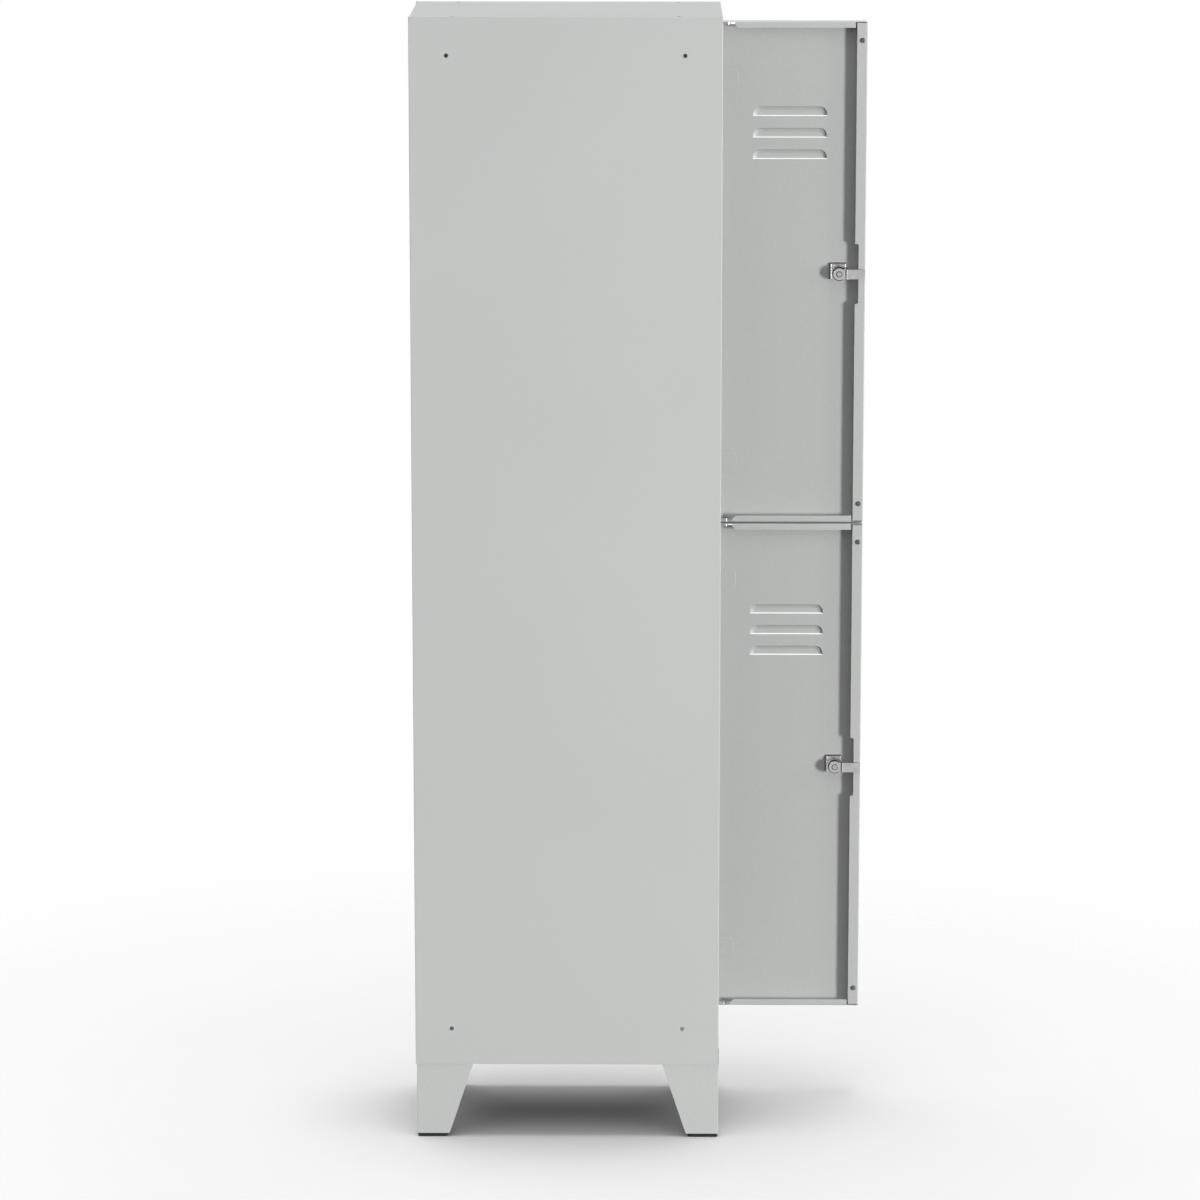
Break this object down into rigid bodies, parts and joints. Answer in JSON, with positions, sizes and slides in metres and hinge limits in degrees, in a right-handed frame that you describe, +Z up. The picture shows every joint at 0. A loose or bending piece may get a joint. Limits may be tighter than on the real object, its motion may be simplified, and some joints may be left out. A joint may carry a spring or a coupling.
{
  "type": "school locker",
  "caption": "Two-tier sheet-steel school locker on feet: one narrow column, hinged pan doors with cam locks and louvres, inner shelf, coat rails and hooks.",
  "frame": {"origin": "on the floor under the middle of the body's 300 by 500 mm outline", "axes": "+Z up, +X towards the hinge side of the doors, -Y out of the front, where the doors stand open"},
  "size_m": [0.3, 0.74, 1.85],
  "materials": {
    "body_paint": "light grey powder coat, fine texture, satin",
    "zinc_steel": "zinc-plated",
    "lock_metal": "nickel-plated die-cast",
    "buffer_rubber": "soft grey rubber",
    "black_plastic": "black, moulded"
  },
  "bodies": {
    "cabinet": {"side_panel_left": "body_paint", "side_panel_right": "body_paint", "back_panel": "body_paint", "top_panel": "body_paint", "bottom_panel": "body_paint", "base_rail": "body_paint", "middle_shelf": "body_paint", "middle_hinge_bracket": "zinc_steel", "top_hinge_pin": "zinc_steel", "middle_hinge_pin": "zinc_steel", "bottom_hinge_pin": "zinc_steel", "foot_bolts": "zinc_steel", "foot_front_left": "body_paint", "foot_front_right": "body_paint", "foot_rear_left": "body_paint", "foot_rear_right": "body_paint", "glide_front_left": "black_plastic", "glide_front_right": "black_plastic", "glide_rear_left": "black_plastic", "glide_rear_right": "black_plastic", "upper_coat_rail": "zinc_steel", "upper_rail_sockets": "zinc_steel", "lower_coat_rail": "zinc_steel", "lower_rail_sockets": "zinc_steel"},
    "upper_door": {"upper_door_panel": "body_paint", "upper_door_hinge_plates": "zinc_steel", "upper_door_buffers": "buffer_rubber", "upper_lock_gasket": "buffer_rubber", "upper_lock_housing": "lock_metal", "upper_lock_ring": "black_plastic", "upper_lock_rosette": "lock_metal"},
    "upper_lock": {"upper_lock_plug": "lock_metal", "upper_lock_cam": "zinc_steel", "upper_lock_cam_screw": "zinc_steel"},
    "upper_coat_hook_1": {"upper_coat_hook_1": "zinc_steel"},
    "upper_coat_hook_2": {"upper_coat_hook_2": "zinc_steel"},
    "upper_coat_hook_3": {"upper_coat_hook_3": "zinc_steel"},
    "lower_door": {"lower_door_panel": "body_paint", "lower_door_hinge_plates": "zinc_steel", "lower_door_buffers": "buffer_rubber", "lower_lock_gasket": "buffer_rubber", "lower_lock_housing": "lock_metal", "lower_lock_ring": "black_plastic", "lower_lock_rosette": "lock_metal"},
    "lower_lock": {"lower_lock_plug": "lock_metal", "lower_lock_cam": "zinc_steel", "lower_lock_cam_screw": "zinc_steel"},
    "lower_coat_hook_1": {"lower_coat_hook_1": "zinc_steel"},
    "lower_coat_hook_2": {"lower_coat_hook_2": "zinc_steel"},
    "lower_coat_hook_3": {"lower_coat_hook_3": "zinc_steel"}
  },
  "joints": [
    {"name": "upper_door_hinge", "type": "hinge", "parent": "cabinet", "child": "upper_door", "pos_m": [0.1165, -0.245, 1.40613], "axis": [0, 0, 1], "range_deg": [-89.1, 20]},
    {"name": "upper_lock_turn", "type": "hinge", "parent": "upper_door", "child": "upper_lock", "pos_m": [0.105, -0.447, 1.40613], "axis": [1, 0, 0], "range_deg": [0, 90]},
    {"name": "upper_coat_hook_1_slide", "type": "slide", "parent": "cabinet", "child": "upper_coat_hook_1", "axis": [1, 0, 0], "range_m": [-0.054, 0.034]},
    {"name": "upper_coat_hook_2_slide", "type": "slide", "parent": "cabinet", "child": "upper_coat_hook_2", "axis": [1, 0, 0], "range_m": [-0.034, 0.034]},
    {"name": "upper_coat_hook_3_slide", "type": "slide", "parent": "cabinet", "child": "upper_coat_hook_3", "axis": [1, 0, 0], "range_m": [-0.034, 0.054]},
    {"name": "lower_door_hinge", "type": "hinge", "parent": "cabinet", "child": "lower_door", "pos_m": [0.1165, -0.245, 0.57137], "axis": [0, 0, 1], "range_deg": [-89.1, 20]},
    {"name": "lower_lock_turn", "type": "hinge", "parent": "lower_door", "child": "lower_lock", "pos_m": [0.105, -0.447, 0.57137], "axis": [1, 0, 0], "range_deg": [0, 90]},
    {"name": "lower_coat_hook_1_slide", "type": "slide", "parent": "cabinet", "child": "lower_coat_hook_1", "axis": [1, 0, 0], "range_m": [-0.054, 0.034]},
    {"name": "lower_coat_hook_2_slide", "type": "slide", "parent": "cabinet", "child": "lower_coat_hook_2", "axis": [1, 0, 0], "range_m": [-0.034, 0.034]},
    {"name": "lower_coat_hook_3_slide", "type": "slide", "parent": "cabinet", "child": "lower_coat_hook_3", "axis": [1, 0, 0], "range_m": [-0.034, 0.054]}
  ]
}
